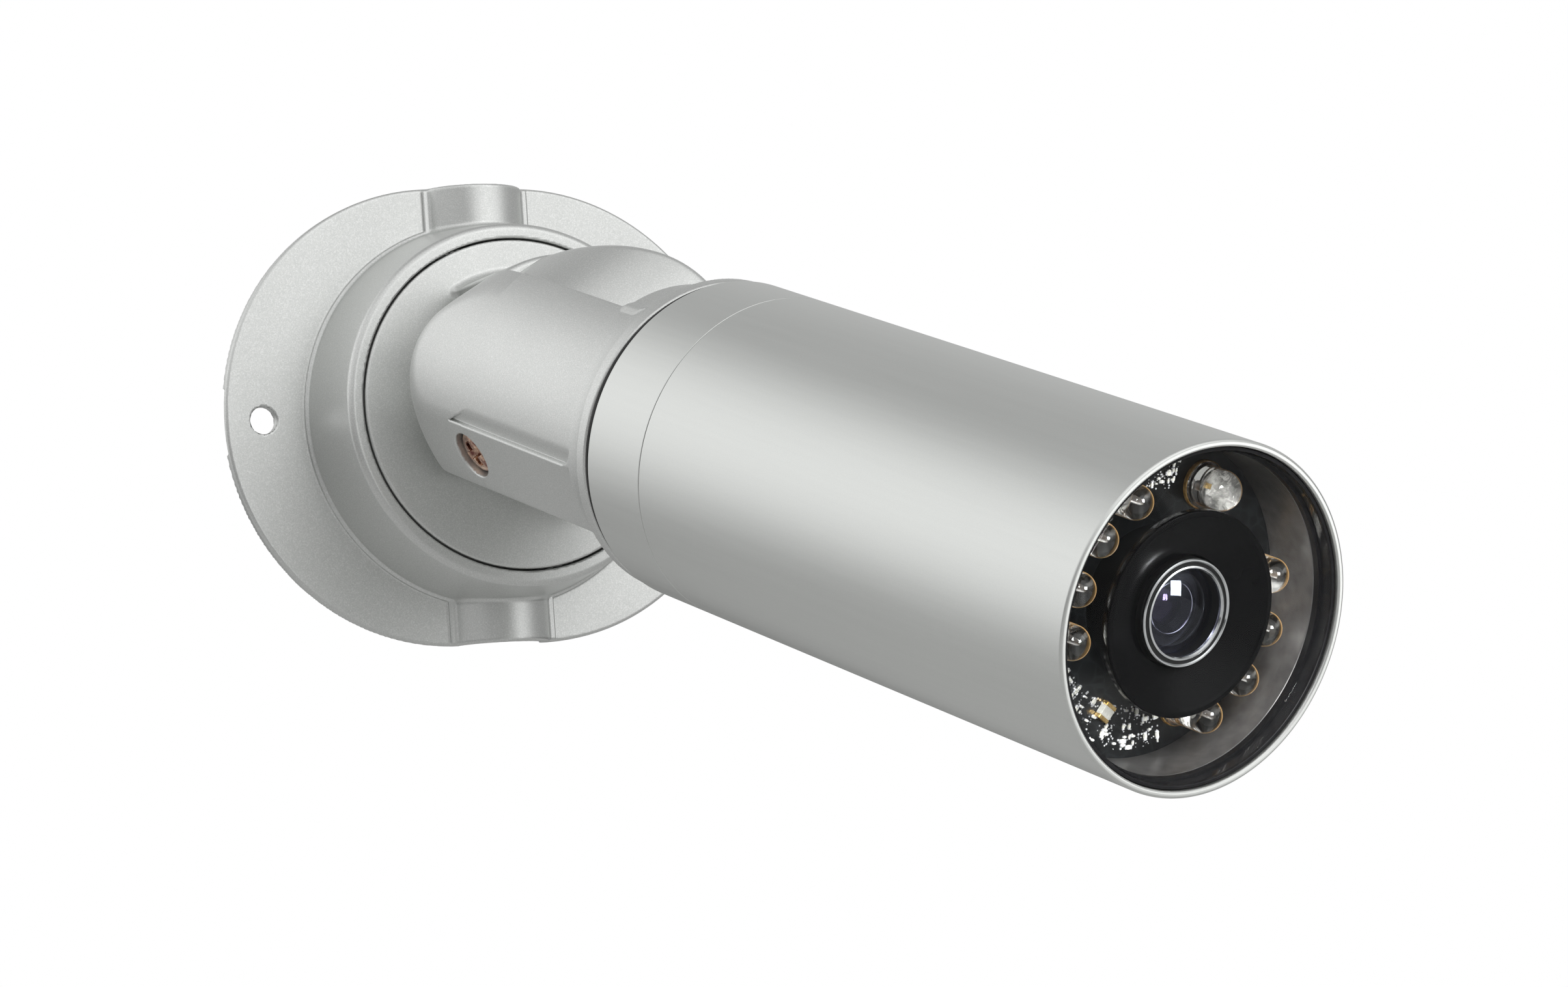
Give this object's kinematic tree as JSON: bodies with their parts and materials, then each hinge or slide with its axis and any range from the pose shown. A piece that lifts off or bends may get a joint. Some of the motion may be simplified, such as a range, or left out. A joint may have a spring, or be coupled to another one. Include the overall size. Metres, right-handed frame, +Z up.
{
  "type": "security camera",
  "caption": "Silver bullet security camera on a wall bracket that pans, tilts and rolls, with infrared lamps round a fixed lens behind a glass window.",
  "frame": {"origin": "centre of the bracket's back, on the wall's face", "axes": "+Z up the wall, +Y into the wall, the camera stands out towards -Y, +X to the right as seen from in front"},
  "size_m": [0.1001, 0.1927, 0.1126],
  "materials": {
    "silver_paint": "fine sparkle silver paint on die-cast aluminium, satin",
    "black_rubber": "moulded, matt",
    "bare_steel": "pressed and turned, bright zinc",
    "yellow_zinc": "yellow zinc plate, worn in the recess",
    "bright_aluminium": "fine turned, bright",
    "clear_window": "clear, polished",
    "coated_glass": "polished with a purple and green coating",
    "clear_resin": "clear epoxy, moulded",
    "dark_sleeve": "dark grey, glossy",
    "black_gloss": "black, glossy",
    "black_plastic": "black, fine texture",
    "black_board": "glass-epoxy board with black solder mask",
    "green_board": "glass-epoxy board with green solder mask",
    "chip": "ceramic package with a clear cover"
  },
  "bodies": {
    "wall_bracket": {"wall_plate": "silver_paint", "wall_gasket": "black_rubber"},
    "pan_base": {"pan_knuckle": "silver_paint", "pan_seal": "black_rubber", "pan_friction_washer": "bare_steel", "pan_retainer": "bare_steel", "pan_screw_1": "bare_steel", "pan_screw_2": "bare_steel", "pan_screw_3": "bare_steel", "tilt_nut": "bare_steel"},
    "tilt_arm": {"tilt_knuckle": "silver_paint", "tilt_friction_disc": "black_rubber", "tilt_washer": "bare_steel"},
    "clamp_screw": {"tilt_screw": "yellow_zinc"},
    "camera_body": {"rear_cap": "silver_paint", "roll_seal": "black_rubber", "roll_friction_washer": "bare_steel", "roll_nut": "bare_steel", "cable_grommet": "black_rubber", "rear_o_ring": "black_rubber", "housing_tube": "silver_paint", "window_gasket": "black_rubber", "window_glass": "clear_window", "window_spacer": "dark_sleeve", "light_board": "black_board", "infrared_led_1": "clear_resin", "infrared_led_2": "clear_resin", "infrared_led_3": "clear_resin", "infrared_led_4": "clear_resin", "infrared_led_5": "clear_resin", "infrared_led_6": "clear_resin", "infrared_led_7": "clear_resin", "infrared_led_8": "clear_resin", "light_sensor": "clear_resin", "lens_shroud": "black_gloss", "lens_barrel": "black_gloss", "lens_front_ring": "bright_aluminium", "lens_front_element": "coated_glass", "lens_rear_element": "coated_glass", "lens_holder": "black_gloss", "module_carrier": "black_plastic", "image_sensor": "chip", "sensor_board": "green_board", "main_board": "green_board", "board_standoff_1": "bright_aluminium", "board_standoff_2": "bright_aluminium", "board_standoff_3": "bright_aluminium", "board_standoff_4": "bright_aluminium", "board_screw_1": "bare_steel", "board_screw_2": "bare_steel", "board_screw_3": "bare_steel", "board_screw_4": "bare_steel"}
  },
  "joints": [
    {"name": "pan", "type": "hinge", "parent": "wall_bracket", "child": "pan_base", "pos_m": [0, 0, 0], "axis": [0, -1, 0], "range_deg": [-180, 180]},
    {"name": "tilt", "type": "hinge", "parent": "pan_base", "child": "tilt_arm", "pos_m": [0, -0.04025, 0], "axis": [-0.8622, 0, -0.5065], "range_deg": [-67, 112]},
    {"name": "clamp_screw_turn", "type": "hinge", "parent": "tilt_arm", "child": "clamp_screw", "pos_m": [0, -0.04025, 0], "axis": [-0.8622, 0, -0.5065], "range_deg": [0, 360]},
    {"name": "roll", "type": "hinge", "parent": "tilt_arm", "child": "camera_body", "pos_m": [0, -0.04025, 0], "axis": [0.1936, -0.9241, -0.3296], "range_deg": [-180, 180]}
  ]
}
